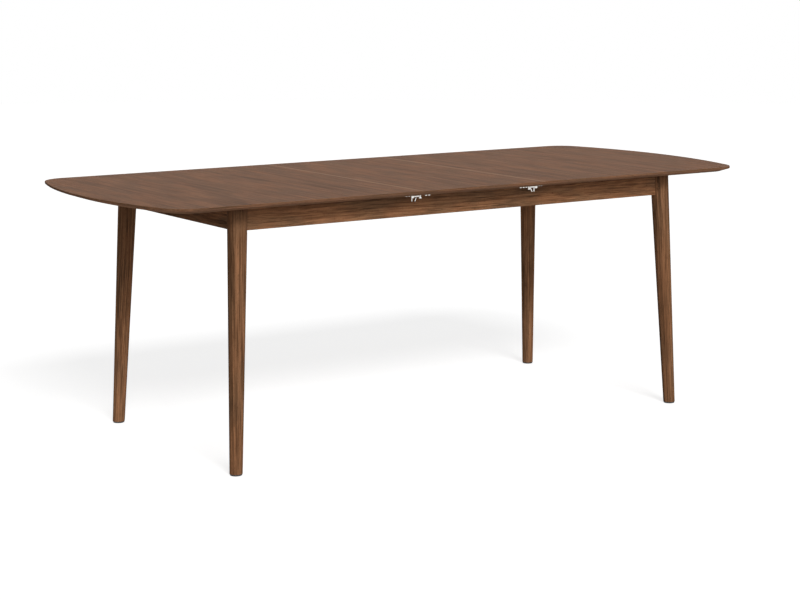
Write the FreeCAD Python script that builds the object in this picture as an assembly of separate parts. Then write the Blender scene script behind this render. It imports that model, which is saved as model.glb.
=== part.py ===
import FreeCAD, Part
import math
import os

from FreeCAD import Vector

# Extending table with a butterfly leaf, shown extended with its leaf in place.
# X runs along the table, Y across it (front is -Y) and Z up from the floor.
# The origin is on the floor under the middle of the leaf. Sizes are in millimetres.

# ---- Driving dimensions: whole table ----
table_length = 2114.0          # tip to tip of the bowed ends, leaf in place
table_width = 878.0
table_height = 750.0
leaf_length = 430.0            # the leaf's share of the table's length

# ---- Driving dimensions: top halves and leaf wings ----
panel_thickness = 16.0
edge_lip = 6.5                 # upright part of the edge
edge_bevel_inset = 30.0        # how far the bevel under the edge runs in
end_bow = 80.0                 # how far each end bows out over the table's width
corner_radius = 85.0
panel_arris = 0.8              # eased top edge
seam_gap = 0.4                 # between the leaf and each half
seam_arris = 0.6               # eased edge along the seams and the fold
fold_gap = 0.4                 # between the two wings

# ---- Driving dimensions: frame ----
end_overhang = 294.5           # tip of the top to the end apron's outer face
side_overhang = 94.0
apron_height = 65.0
apron_thickness = 20.0
apron_arris = 1.5
leg_top_radius = 28.2
leg_foot_radius = 18.1
leg_inset = 10.4               # apron's outer face to the leg's axis, at the leg's top
leg_splay_x = 35.0             # how far each foot stands out from the leg's top
leg_splay_y = 34.0
leg_housing = 14.0             # how deep the aprons are let into the legs
foot_glide_height = 4.5
foot_glide_margin = 0.9
foot_stem_radius = 2.5
foot_stem_length = 22.0

# ---- Driving dimensions: slides ----
slide_travel = 30.0            # how far each half pulls out past the leaf
slide_clearance = 0.3
glide_thickness = 2.0          # low-friction strip between the rails and the top
glide_strip_width = 18.0
rail_thickness = 24.0
rail_height = 32.0
rail_leg_clearance = 4.0
groove_depth = 9.0
groove_height = 9.0
runner_thickness = 24.0
runner_setback = 20.0          # seam to the runner's inner end
end_glide_radius = 8.0
end_glide_stem_length = 10.0
end_glide_y = 150.0
stop_thickness = 3.0
stop_size = 20.0

# ---- Driving dimensions: cross rails and corner blocks ----
tie_rail_thickness = 20.0
bearer_width = 40.0
bearer_height = 14.0
bearer_seam_distance = 65.0    # bearer's middle to the nearer seam
cross_rail_lift = 1.0          # apron's lower edge to the cross rails
cross_rail_tenon = 6.0         # length of the stub tenons
tenon_shoulder = 3.0
corner_block_reach = 78.0
corner_block_flange = 16.0
corner_block_flange_length = 18.0
corner_block_gap = 2.5         # to the leg, and to the rail above
hanger_bolt_radius = 4.0
hanger_bolt_in_leg = 30.0
hanger_bolt_tail = 5.0
hanger_bolt_chamfer = 1.0
washer_radius = 9.0
washer_thickness = 1.6
nut_across_flats = 13.0
nut_height = 6.5

# ---- Driving dimensions: leaf supports, hinges and latches ----
support_plate_width = 30.0
support_plate_thickness = 2.0
support_plate_grip = 40.0      # under the half
support_plate_reach = 22.0     # under the leaf
support_plate_distance = 70.0  # plate's middle to the runner's inner face
support_plate_corner = 5.0
support_plate_screw_margin = 10.0
support_plate_screw_pitch = 14.0
hinge_spacing = 150.0
hinge_cup_width = 26.0
hinge_cup_depth = 17.0
hinge_cup_cover = 3.0          # wood left over the cup
hinge_cup_height = 11.0
hinge_tongue_radius = 7.3      # about the fold line, at the top surface
hinge_tongue_thickness = 4.4
hinge_tongue_width = 8.0
hinge_tongue_angle = 45.0      # each side of straight down
hinge_socket_angle = 52.0
latch_plate_thickness = 1.5
latch_plate_width = 12.0
latch_plate_corner = 4.0
latch_edge_distance = 18.0     # bevel's inner edge to the latch's middle line
keeper_post_to_seam = 21.0
keeper_plate_margin = 8.0      # post to the plate's end
keeper_plate_length = 50.0
keeper_screw_margin = 11.3
keeper_screw_pitch = 10.8
keeper_post_radius = 2.6
keeper_post_height = 6.5
keeper_head_radius = 4.8
keeper_head_height = 2.6
hook_pivot_to_seam = 5.0
hook_plate_margin = 4.4        # pivot to the plate's end
hook_plate_length = 30.0
hook_screw_margin = 5.0
hook_screw_pitch = 9.4
hook_pivot_radius = 2.5
hook_collar_radius = 4.0
hook_collar_height = 1.3
hook_head_height = 2.4
hook_thickness = 3.0
hook_width = 7.0
hook_eye_radius = 5.2
hook_ring_radius = 7.6
hook_mouth_play = 1.1          # between the post and the hook's mouth
hook_lip = 1.0                 # how far the hook's lip runs past the post's middle
hook_rest_angle = 12.0         # swung in from the post
hook_lug_place = 3.5           # along the hook from its pivot
hook_lug_reach = 7.4
finger_length = 13.0
finger_width = 3.0
finger_thickness = 2.2
slanted_finger_place = 18.5    # along the hook from its pivot
slanted_finger_lean = 7.0      # towards the pivot, over the finger's length
pivot_clearance = 0.05

# ---- Driving dimensions: screws ----
hole_clearance = 0.05
screw_tip = 3.0
screw_point_radius = 0.3
screw_crown_share = 0.35       # rounded part of the head's height
recess_width = 0.9
recess_depth = 1.0
counterbore_clearance = 0.4
frame_screw = {"radius": 2.0, "head_radius": 4.0, "head_height": 2.4}
plate_screw = {"radius": 1.6, "head_radius": 3.3, "head_height": 1.5}
keeper_screw = {"radius": 1.6, "head_radius": 3.8, "head_height": 3.0}
block_screw_bite = 12.0        # length in the piece that the screw holds
rail_screw_bite = 14.0
runner_screw_bite = 10.0
plate_screw_bite = 10.0
rail_screw_recess = 4.0
runner_screw_recess = 12.0
rail_screw_count = 6
runner_screw_count = 4
screw_end_margin = 35.0

# ---- Levels and places that follow from the driving dimensions ----
underside = table_height - panel_thickness
apron_top = underside - glide_thickness
apron_bottom = apron_top - apron_height
rail_bottom = apron_top - rail_height
block_top = rail_bottom - corner_block_gap
block_bottom = apron_bottom + corner_block_gap
block_middle = (block_top + block_bottom) / 2
cross_rail_bottom = apron_bottom + cross_rail_lift

half_leaf = leaf_length / 2
half_width = table_width / 2
seam_x = half_leaf + seam_gap
end_bow_radius = (half_width ** 2 + end_bow ** 2) / (2 * end_bow)

end_apron_outer = table_length / 2 - end_overhang
end_apron_inner = end_apron_outer - apron_thickness
side_apron_outer = half_width - side_overhang
side_apron_inner = side_apron_outer - apron_thickness
leg_top_x = end_apron_outer - leg_inset
leg_top_y = side_apron_outer - leg_inset
side_apron_end = leg_top_x - leg_top_radius + leg_housing
end_apron_end = leg_top_y - leg_top_radius + leg_housing

rail_inner = side_apron_inner - rail_thickness
rail_end = leg_top_x - leg_top_radius - rail_leg_clearance
groove_middle = (apron_top + rail_bottom) / 2
runner_outer = rail_inner - slide_clearance
runner_inner = runner_outer - runner_thickness
runner_start = seam_x + runner_setback
runner_end = end_apron_inner - stop_thickness - slide_travel
bearer_x = half_leaf - bearer_seam_distance
tie_rail_x = (seam_x + end_apron_inner) / 2

support_plate_y = runner_inner - support_plate_distance
latch_y = half_width - edge_bevel_inset - latch_edge_distance
latch_plate_bottom = underside - latch_plate_thickness
keeper_post_x = half_leaf - keeper_post_to_seam
hook_pivot_x = seam_x + hook_pivot_to_seam
hook_reach = hook_pivot_x - keeper_post_x
hook_top = latch_plate_bottom - hook_collar_height - pivot_clearance
hook_bottom = hook_top - hook_thickness

ALONG = Vector(1, 0, 0)
ACROSS = Vector(0, 1, 0)
UP = Vector(0, 0, 1)
DOWN = Vector(0, 0, -1)
ORIGIN = Vector(0, 0, 0)
SIDES = {"left": -1, "right": 1}
FACES = {"front": -1, "back": 1}
EDGE_TOLERANCE = 1e-3          # for picking edges at a level


# ---- Shared shapes ----
def box(x_span, y_span, z_span):
    """Box between the low and high values of each span."""
    low = Vector(x_span[0], y_span[0], z_span[0])
    size = (x_span[1] - x_span[0], y_span[1] - y_span[0], z_span[1] - z_span[0])
    return Part.makeBox(size[0], size[1], size[2], low)


def mirrored(shape, side, face):
    """Copy of a shape of the right back quarter, in the quarter that the two signs name."""
    if side < 0:
        shape = shape.mirror(ORIGIN, ALONG)
    if face < 0:
        shape = shape.mirror(ORIGIN, ACROSS)
    return shape


def quarters(shape):
    """The shape in all four quarters of the table."""
    return [mirrored(shape, side, face) for side in SIDES.values() for face in FACES.values()]


def both_faces(shape, side):
    """The shape at the front and the back, on one side of the table."""
    return [mirrored(shape, side, face) for face in FACES.values()]


def both_sides(shape, face):
    """The shape on the left and the right, at one face of the table."""
    return [mirrored(shape, side, face) for side in SIDES.values()]


def spread(first, last, count):
    """Evenly spaced places from first to last."""
    step = (last - first) / (count - 1)
    return [first + step * index for index in range(count)]


def polygon_prism(points, bottom, height):
    """Upright prism over a plan outline."""
    corners = [Vector(x, y, bottom) for x, y in points]
    wire = Part.makePolygon(corners + corners[:1])
    return Part.Face(wire).extrude(UP * height)


def revolved(profile):
    """Solid of revolution about Z over a closed profile of radius and height."""
    wire = Part.makePolygon([Vector(radius, 0, height) for radius, height in profile + profile[:1]])
    return Part.Face(wire).revolve(ORIGIN, UP, 360)


def upright_edges(plate):
    """Edges along Z at a plate's corners."""
    return [edge for edge in plate.Edges if edge.BoundBox.ZLength > EDGE_TOLERANCE]


def save(name, solids):
    """Write one node as a STEP file, from one solid or from a group of them."""
    shape = solids if isinstance(solids, Part.Shape) else Part.makeCompound(solids)
    shape.exportStep(os.path.join("parts", name + ".step"))


# ---- Screws ----
def screw(seat, direction, size, length):
    """Pan-head screw with a cross recess: the head's flat side on seat, the shank along direction."""
    radius = size["radius"]
    head = size["head_radius"]
    height = size["head_height"]
    crown = height * screw_crown_share
    profile = [
        (0, length),
        (screw_point_radius, length),
        (radius, length - screw_tip),
        (radius, 0),
        (head, 0),
        (head, -height + crown),
        (head - crown, -height),
        (0, -height),
    ]
    body = revolved(profile)
    half_slot = recess_width / 2
    for turn in (0, 90):
        slot = box((-head / 2, head / 2), (-half_slot, half_slot), (-height, recess_depth - height))
        slot.rotate(ORIGIN, UP, turn)
        body = body.cut(slot)
    body.Placement = FreeCAD.Placement(seat, FreeCAD.Rotation(UP, direction))
    return body


def screws(seats, direction, size, length):
    """Like screws, one on each seat."""
    return [screw(seat, direction, size, length) for seat in seats]


def screw_hole(seat, direction, size, length):
    """Hole for the shank of a screw with the same seat, direction, size and length."""
    return Part.makeCylinder(size["radius"] + hole_clearance, length + hole_clearance, seat, direction)


def counterbore(seat, direction, size, depth):
    """Recess for a screw's head, from its seat back out to the surface."""
    return Part.makeCylinder(size["head_radius"] + counterbore_clearance, depth, seat, direction * -1)


# ---- Top halves and leaf wings ----
def half_outline(inset, seam_inset, level):
    """Outline of the right half at one level: seam, straight sides, round corners and bowed end."""
    side = half_width - inset
    seam = seam_x + seam_inset
    bow_centre = table_length / 2 - end_bow_radius
    bow_radius = end_bow_radius - inset
    radius = corner_radius - inset
    corner_y = half_width - corner_radius
    corner_x = bow_centre + math.sqrt((end_bow_radius - corner_radius) ** 2 - corner_y ** 2)
    end_angle = math.atan2(corner_y, corner_x - bow_centre)
    middle_angle = (math.pi / 2 + end_angle) / 2

    def corner_point(angle, face):
        return Vector(corner_x + radius * math.cos(angle), face * (corner_y + radius * math.sin(angle)), level)

    tip = Vector(bow_centre + bow_radius, 0, level)
    front = [corner_point(angle, -1) for angle in (math.pi / 2, middle_angle, end_angle)]
    back = [corner_point(angle, 1) for angle in (end_angle, middle_angle, math.pi / 2)]
    seam_front = Vector(seam, -side, level)
    seam_back = Vector(seam, side, level)
    edges = [
        Part.LineSegment(seam_front, front[0]),
        Part.Arc(front[0], front[1], front[2]),
        Part.Arc(front[2], tip, back[0]),
        Part.Arc(back[0], back[1], back[2]),
        Part.LineSegment(back[2], seam_back),
        Part.LineSegment(seam_back, seam_front),
    ]
    return Part.Wire([edge.toShape() for edge in edges])


def wing_outline(inset, seam_inset, level):
    """Outline of the back wing at one level: seam to seam, and fold line to outer edge."""
    reach = half_leaf - seam_inset
    fold = fold_gap / 2 + seam_inset
    side = half_width - inset
    corners = [
        Vector(-reach, fold, level),
        Vector(reach, fold, level),
        Vector(reach, side, level),
        Vector(-reach, side, level),
    ]
    return Part.makePolygon(corners + corners[:1])


def panel(outline):
    """Solid through the outlines at each level of the edge: arris, upright lip and bevel below."""
    levels = [
        outline(panel_arris, seam_arris, table_height),
        outline(0, 0, table_height - panel_arris),
        outline(0, 0, table_height - edge_lip),
        outline(edge_bevel_inset, 0, underside),
    ]
    return Part.makeLoft(levels, True, True)


def top_half():
    """Right half of the top, with the holes for what is screwed under it."""
    half = panel(half_outline)
    for face in FACES.values():
        cutters = runner_screw_holes() + support_plate_screw_holes() + hook_plate_screw_holes()
        for cutter in cutters:
            half = half.cut(mirrored(cutter, 1, face))
    return half


def leaf_wing():
    """Back wing of the leaf, with mortises for the hinges and holes for the keepers' screws."""
    wing = panel(wing_outline)
    for x in hinge_places():
        wing = wing.cut(hinge_cup_block(x))
    for side in SIDES.values():
        for cutter in keeper_plate_screw_holes():
            wing = wing.cut(mirrored(cutter, side, 1))
    return wing


# ---- Hinges of the leaf ----
def hinge_places():
    return (-hinge_spacing, 0, hinge_spacing)


def hinge_cup_block(x):
    """Outer shape of one hinge cup, let into the back wing's fold edge."""
    top = table_height - hinge_cup_cover
    x_span = (x - hinge_cup_width / 2, x + hinge_cup_width / 2)
    y_span = (fold_gap / 2, fold_gap / 2 + hinge_cup_depth)
    return box(x_span, y_span, (top - hinge_cup_height, top))


def fold_ring(x, inner, outer, width, first_angle, last_angle):
    """Part of a ring about the fold line; angles count from straight down, towards the back."""
    axis_point = Vector(x, 0, table_height)
    corners = [
        Vector(x - width / 2, 0, table_height - inner),
        Vector(x + width / 2, 0, table_height - inner),
        Vector(x + width / 2, 0, table_height - outer),
        Vector(x - width / 2, 0, table_height - outer),
    ]
    section = Part.Face(Part.makePolygon(corners + corners[:1]))
    section.rotate(axis_point, ALONG, first_angle)
    return section.revolve(axis_point, ALONG, last_angle - first_angle)


def hinge_socket_cup(x):
    """Back hinge cup, with the curved socket that takes the front cup's tongue."""
    inner = hinge_tongue_radius - slide_clearance
    outer = hinge_tongue_radius + hinge_tongue_thickness + slide_clearance
    width = hinge_tongue_width + 2 * slide_clearance
    socket = fold_ring(x, inner, outer, width, -hinge_socket_angle, hinge_socket_angle)
    return hinge_cup_block(x).cut(socket)


def hinge_tongue_cup(x):
    """Front hinge cup, with a tongue curved about the fold line."""
    cup = mirrored(hinge_cup_block(x), 1, -1)
    outer = hinge_tongue_radius + hinge_tongue_thickness
    angle = hinge_tongue_angle
    tongue = fold_ring(x, hinge_tongue_radius, outer, hinge_tongue_width, -angle, angle)
    return cup.fuse(tongue).removeSplitter()


# ---- Legs and feet ----
def leg_axis(level):
    """Point of the right back leg's axis at a level."""
    share = (apron_top - level) / apron_top
    return Vector(leg_top_x + leg_splay_x * share, leg_top_y + leg_splay_y * share, level)


def leg_radius(level):
    return leg_foot_radius + (leg_top_radius - leg_foot_radius) * level / apron_top


def leg():
    """Round tapered leg, splayed both ways, housed for the aprons and bored for bolt and glide."""
    low = -leg_foot_radius
    high = apron_top + leg_top_radius
    start = leg_axis(low)
    run = leg_axis(high) - start
    cone = Part.makeCone(leg_radius(low), leg_radius(high), run.Length, start, run)
    reach = table_length / 2
    slab = box((0, reach), (0, reach), (foot_glide_height, apron_top))
    shape = cone.common(slab)
    for cutter in (side_apron_blank(), end_apron_blank(), hanger_bolt_hole(), foot_stem_hole()):
        shape = shape.cut(cutter)
    return shape


def foot_glide():
    """Round glide under a foot, with the stem that holds it."""
    centre = leg_axis(foot_glide_height)
    centre.z = 0
    pad = Part.makeCylinder(leg_foot_radius - foot_glide_margin, foot_glide_height, centre)
    rim = [edge for edge in pad.Edges if edge.BoundBox.ZMax < EDGE_TOLERANCE]
    pad = pad.makeChamfer(foot_glide_margin, rim)
    stem = Part.makeCylinder(foot_stem_radius, foot_glide_height + foot_stem_length, centre)
    return pad.fuse(stem).removeSplitter()


def foot_stem_hole():
    centre = leg_axis(foot_glide_height)
    return Part.makeCylinder(foot_stem_radius + hole_clearance, foot_stem_length + hole_clearance, centre)


# ---- Aprons ----
def eased_bottom(rail):
    """Bar with the two long edges of its lower face eased."""
    bottom = rail.BoundBox.ZMin
    run = max(rail.BoundBox.XLength, rail.BoundBox.YLength)
    low_edges = [edge for edge in rail.Edges if edge.BoundBox.ZMax < bottom + EDGE_TOLERANCE]
    long_edges = [edge for edge in low_edges if edge.Length > run - EDGE_TOLERANCE]
    return rail.makeChamfer(apron_arris, long_edges)


def side_apron_blank():
    """Back apron before its mortises."""
    x_span = (-side_apron_end, side_apron_end)
    return eased_bottom(box(x_span, (side_apron_inner, side_apron_outer), (apron_bottom, apron_top)))


def end_apron_blank():
    """Right apron before its bores."""
    y_span = (-end_apron_end, end_apron_end)
    return eased_bottom(box((end_apron_inner, end_apron_outer), y_span, (apron_bottom, apron_top)))


def side_apron():
    """Back apron, mortised for the cross rails and drilled for its screws."""
    apron = side_apron_blank()
    cutters = rail_screw_holes()
    for side in SIDES.values():
        cutters.append(mirrored(hanger_bolt_hole(), side, 1))
        cutters.append(mirrored(block_screw_hole_side(), side, 1))
        cutters.append(mirrored(cross_rail(tie_rail_x, tie_rail_thickness, tie_rail_height()), side, 1))
        cutters.append(mirrored(cross_rail(bearer_x, bearer_width, bearer_height), side, 1))
    for cutter in cutters:
        apron = apron.cut(cutter)
    return apron


def end_apron():
    """Right apron, drilled for the corner blocks' screws and the glides' stems."""
    apron = end_apron_blank()
    for face in FACES.values():
        apron = apron.cut(mirrored(hanger_bolt_hole(), 1, face))
        apron = apron.cut(mirrored(block_screw_hole_end(), 1, face))
        apron = apron.cut(mirrored(end_glide_hole(), 1, face))
    return apron


# ---- Cross rails ----
def tie_rail_height():
    return rail_bottom - corner_block_gap - cross_rail_bottom


def cross_rail(x, width, height):
    """Rail across the frame with a stub tenon at each end."""
    levels = (cross_rail_bottom, cross_rail_bottom + height)
    bar = box((x - width / 2, x + width / 2), (-side_apron_inner, side_apron_inner), levels)
    reach = side_apron_inner + cross_rail_tenon
    tenon_x = (x - width / 2 + tenon_shoulder, x + width / 2 - tenon_shoulder)
    tenon = box(tenon_x, (-reach, reach), (levels[0] + tenon_shoulder, levels[1] - tenon_shoulder))
    return bar.fuse(tenon).removeSplitter()


# ---- Corner blocks and leg bolts ----
def from_corner(u, v):
    """Plan point at distances u and v in from the end apron and the side apron."""
    return (end_apron_inner - u, side_apron_inner - v)


def block_nose():
    """Sum of the two distances from the corner at which the block clears the leg."""
    centre = leg_axis(block_bottom)
    offset = (end_apron_inner - centre.x) + (side_apron_inner - centre.y)
    return offset + (leg_radius(block_top) + corner_block_gap) * math.sqrt(2)


def block_back():
    """Sum of the two distances from the corner at the block's slanted inner face."""
    return corner_block_reach - corner_block_flange_length + corner_block_flange


def diagonal_point(total):
    """Point on the corner's diagonal where the two distances add up to total, at the bolt's level."""
    x, y = from_corner(total / 2, total / 2)
    return Vector(x, y, block_middle)


def corner_block():
    """Block across the right back corner, with a flange on each apron and a bore for the leg's bolt."""
    nose = block_nose()
    step = corner_block_reach - corner_block_flange_length
    outline = [
        (nose, 0),
        (corner_block_reach, 0),
        (corner_block_reach, corner_block_flange),
        (step, corner_block_flange),
        (corner_block_flange, step),
        (corner_block_flange, corner_block_reach),
        (0, corner_block_reach),
        (0, nose),
    ]
    corners = [from_corner(u, v) for u, v in outline]
    block = polygon_prism(corners, block_bottom, block_top - block_bottom)
    for cutter in (hanger_bolt_hole(), block_screw_hole_side(), block_screw_hole_end()):
        block = block.cut(cutter)
    return block


def bolt_start():
    """Inner end of the hanger bolt, in the leg."""
    return diagonal_point(block_nose() - (corner_block_gap + hanger_bolt_in_leg) * math.sqrt(2))


def bolt_direction():
    return (diagonal_point(block_back()) - diagonal_point(0)).normalize()


def bolt_length():
    """From the leg to just past the nut."""
    seat = diagonal_point(block_back())
    return (seat - bolt_start()).Length + washer_thickness + nut_height + hanger_bolt_tail


def hanger_bolt():
    """Bolt from the leg through the corner block, with a pointed inner end and a chamfered tail."""
    profile = [
        (0, 0),
        (screw_point_radius, 0),
        (hanger_bolt_radius, hanger_bolt_radius),
        (hanger_bolt_radius, bolt_length() - hanger_bolt_chamfer),
        (hanger_bolt_radius - hanger_bolt_chamfer, bolt_length()),
        (0, bolt_length()),
    ]
    bolt = revolved(profile)
    bolt.Placement = FreeCAD.Placement(bolt_start(), FreeCAD.Rotation(UP, bolt_direction()))
    return bolt


def hanger_bolt_hole():
    radius = hanger_bolt_radius + hole_clearance
    return Part.makeCylinder(radius, bolt_length(), bolt_start(), bolt_direction())


def hanger_washer():
    """Washer on the corner block's slanted face."""
    seat = diagonal_point(block_back())
    disc = Part.makeCylinder(washer_radius, washer_thickness, seat, bolt_direction())
    return disc.cut(hanger_bolt_hole())


def hanger_nut():
    """Hexagon nut on the washer."""
    radius = nut_across_flats / math.sqrt(3)
    turns = [math.radians(60 * index) for index in range(6)]
    nut = polygon_prism([(radius * math.cos(turn), radius * math.sin(turn)) for turn in turns], 0, nut_height)
    seat = diagonal_point(block_back()) + bolt_direction() * washer_thickness
    nut.Placement = FreeCAD.Placement(seat, FreeCAD.Rotation(UP, bolt_direction()))
    return nut.cut(hanger_bolt_hole())


def block_screw_seat(towards_side):
    """Seat of a flange screw, on the flange at the side apron or at the end apron."""
    middle = corner_block_reach - corner_block_flange_length / 2
    if towards_side:
        x, y = from_corner(middle, corner_block_flange)
    else:
        x, y = from_corner(corner_block_flange, middle)
    return Vector(x, y, block_middle)


def block_screw_length():
    return corner_block_flange + block_screw_bite


def block_screw_hole_side():
    return screw_hole(block_screw_seat(True), ACROSS, frame_screw, block_screw_length())


def block_screw_hole_end():
    return screw_hole(block_screw_seat(False), ALONG, frame_screw, block_screw_length())


def block_screws():
    """The two screws of the right back corner block."""
    return [
        screw(block_screw_seat(True), ACROSS, frame_screw, block_screw_length()),
        screw(block_screw_seat(False), ALONG, frame_screw, block_screw_length()),
    ]


# ---- Guide rails, runners and glides ----
def rail_screw_seats():
    """Seats of the rail's screws, in counterbores below its groove."""
    land = (apron_top - rail_bottom - groove_height) / 2
    level = rail_bottom + land / 2
    places = spread(-rail_end + screw_end_margin, rail_end - screw_end_margin, rail_screw_count)
    return [Vector(x, rail_inner + rail_screw_recess, level) for x in places]


def rail_screw_length():
    return rail_thickness - rail_screw_recess + rail_screw_bite


def rail_screw_holes():
    return [screw_hole(seat, ACROSS, frame_screw, rail_screw_length()) for seat in rail_screw_seats()]


def guide_rail():
    """Back guide rail: a bar along the apron with a groove for the runners' tongues."""
    rail = box((-rail_end, rail_end), (rail_inner, side_apron_inner), (rail_bottom, apron_top))
    levels = (groove_middle - groove_height / 2, groove_middle + groove_height / 2)
    rail = rail.cut(box((-rail_end, rail_end), (rail_inner, rail_inner + groove_depth), levels))
    for seat, hole in zip(rail_screw_seats(), rail_screw_holes()):
        rail = rail.cut(hole).cut(counterbore(seat, ACROSS, frame_screw, rail_screw_recess))
    return rail


def glide_strip():
    """Low-friction strip along the top of the back guide rail."""
    middle = (rail_inner + side_apron_inner) / 2
    y_span = (middle - glide_strip_width / 2, middle + glide_strip_width / 2)
    return box((-rail_end, rail_end), y_span, (apron_top, underside))


def end_glide():
    """Round glide on top of the right apron, with its stem."""
    base = Vector((end_apron_inner + end_apron_outer) / 2, end_glide_y, apron_top)
    disc = Part.makeCylinder(end_glide_radius, glide_thickness, base)
    stem = Part.makeCylinder(foot_stem_radius, end_glide_stem_length, base, DOWN)
    return disc.fuse(stem).removeSplitter()


def end_glide_hole():
    base = Vector((end_apron_inner + end_apron_outer) / 2, end_glide_y, apron_top)
    radius = foot_stem_radius + hole_clearance
    return Part.makeCylinder(radius, end_glide_stem_length + hole_clearance, base, DOWN)


def slide_stop():
    """Pad on the right apron that the back runner meets when the half is pulled right out."""
    middle = (runner_inner + runner_outer) / 2
    y_span = (middle - stop_size / 2, middle + stop_size / 2)
    z_span = (groove_middle - stop_size / 2, groove_middle + stop_size / 2)
    return box((end_apron_inner - stop_thickness, end_apron_inner), y_span, z_span)


def runner_screw_seats():
    """Seats of the runner's screws, in counterbores from below."""
    middle = (runner_inner + runner_outer) / 2
    places = spread(runner_start + screw_end_margin, runner_end - screw_end_margin, runner_screw_count)
    return [Vector(x, middle, rail_bottom + runner_screw_recess) for x in places]


def runner_screw_length():
    return underside - rail_bottom - runner_screw_recess + runner_screw_bite


def runner_screw_holes():
    return [screw_hole(seat, UP, frame_screw, runner_screw_length()) for seat in runner_screw_seats()]


def runner():
    """Back runner of the right half: a bar with a tongue that slides in the rail's groove."""
    bar = box((runner_start, runner_end), (runner_inner, runner_outer), (rail_bottom, underside))
    reach = rail_inner + groove_depth - slide_clearance
    half_tongue = groove_height / 2 - slide_clearance
    levels = (groove_middle - half_tongue, groove_middle + half_tongue)
    shape = bar.fuse(box((runner_start, runner_end), (runner_outer, reach), levels)).removeSplitter()
    for seat, hole in zip(runner_screw_seats(), runner_screw_holes()):
        shape = shape.cut(hole).cut(counterbore(seat, UP, frame_screw, runner_screw_recess))
    return shape


# ---- Leaf support plates ----
def support_plate_blank():
    x_span = (seam_x - support_plate_reach, seam_x + support_plate_grip)
    y_span = (support_plate_y - support_plate_width / 2, support_plate_y + support_plate_width / 2)
    plate = box(x_span, y_span, (underside - support_plate_thickness, underside))
    return plate.makeFillet(support_plate_corner, upright_edges(plate))


def support_plate_screw_seats():
    level = underside - support_plate_thickness
    last = seam_x + support_plate_grip - support_plate_screw_margin
    return [Vector(x, support_plate_y, level) for x in (last, last - support_plate_screw_pitch)]


def support_plate_screw_holes():
    length = support_plate_thickness + plate_screw_bite
    return [screw_hole(seat, UP, plate_screw, length) for seat in support_plate_screw_seats()]


def support_plate():
    """Steel plate under the right half that reaches under the leaf's back wing."""
    plate = support_plate_blank()
    for hole in support_plate_screw_holes():
        plate = plate.cut(hole)
    return plate


# ---- Latches: hook on the half, keeper on the leaf ----
def latch_plate(x_span):
    """Latch plate between two places along X, with round corners."""
    y_span = (latch_y - latch_plate_width / 2, latch_y + latch_plate_width / 2)
    plate = box(x_span, y_span, (latch_plate_bottom, underside))
    return plate.makeFillet(latch_plate_corner, upright_edges(plate))


def keeper_plate_screw_seats():
    first = keeper_post_x + keeper_plate_margin - keeper_plate_length + keeper_screw_margin
    return [Vector(x, latch_y, latch_plate_bottom) for x in (first, first + keeper_screw_pitch)]


def hook_plate_screw_seats():
    last = hook_pivot_x - hook_plate_margin + hook_plate_length - hook_screw_margin
    return [Vector(x, latch_y, latch_plate_bottom) for x in (last, last - hook_screw_pitch)]


def keeper_plate_screw_holes():
    length = latch_plate_thickness + plate_screw_bite
    return [screw_hole(seat, UP, keeper_screw, length) for seat in keeper_plate_screw_seats()]


def hook_plate_screw_holes():
    length = latch_plate_thickness + plate_screw_bite
    return [screw_hole(seat, UP, plate_screw, length) for seat in hook_plate_screw_seats()]


def latch_keeper():
    """Keeper under the back wing's right end: a plate with a headed post that hangs down."""
    end = keeper_post_x + keeper_plate_margin
    plate = latch_plate((end - keeper_plate_length, end))
    for hole in keeper_plate_screw_holes():
        plate = plate.cut(hole)
    base = Vector(keeper_post_x, latch_y, latch_plate_bottom)
    post = Part.makeCylinder(keeper_post_radius, keeper_post_height, base, DOWN)
    tip = base + DOWN * keeper_post_height
    head = Part.makeCylinder(keeper_head_radius, keeper_head_height, tip, DOWN)
    return plate.fuse([post, head]).removeSplitter()


def hook_plate():
    """Plate under the right half that carries the back hook's pivot pin."""
    start = hook_pivot_x - hook_plate_margin
    plate = latch_plate((start, start + hook_plate_length))
    for hole in hook_plate_screw_holes():
        plate = plate.cut(hole)
    base = Vector(hook_pivot_x, latch_y, latch_plate_bottom)
    return plate.cut(Part.makeCylinder(hook_pivot_radius + hole_clearance, latch_plate_thickness, base))


def hook_pin():
    """Pivot pin: core in the plate, collar above the hook and head below it."""
    base = Vector(hook_pivot_x, latch_y, underside)
    below_plate = Vector(hook_pivot_x, latch_y, latch_plate_bottom)
    below_hook = Vector(hook_pivot_x, latch_y, hook_bottom - pivot_clearance)
    core_length = (base - below_hook).Length + hook_head_height
    core = Part.makeCylinder(hook_pivot_radius, core_length, base, DOWN)
    collar = Part.makeCylinder(hook_collar_radius, hook_collar_height, below_plate, DOWN)
    head = Part.makeCylinder(hook_collar_radius, hook_head_height, below_hook, DOWN)
    return core.fuse([collar, head]).removeSplitter()


def lug_with_finger():
    """Lug on the hook's inner side at its eye, with a finger that hangs straight down from its end."""
    x_span = (-hook_lug_place - finger_width / 2, -hook_lug_place + finger_width / 2)
    lug = box(x_span, (-hook_lug_reach, 0), (hook_bottom, hook_top))
    y_span = (-hook_lug_reach, finger_thickness - hook_lug_reach)
    finger = box(x_span, y_span, (hook_bottom - finger_length, hook_bottom))
    return lug.fuse(finger)


def slanted_finger():
    """Finger that hangs from the strap's inner edge and leans towards the pivot."""
    top = -slanted_finger_place
    bottom = top + slanted_finger_lean
    inner = -hook_width / 2
    corners = [
        Vector(top - finger_width / 2, inner, hook_bottom),
        Vector(top + finger_width / 2, inner, hook_bottom),
        Vector(bottom + finger_width / 2, inner, hook_bottom - finger_length),
        Vector(bottom - finger_width / 2, inner, hook_bottom - finger_length),
    ]
    return Part.Face(Part.makePolygon(corners + corners[:1])).extrude(ACROSS * finger_thickness)


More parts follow.
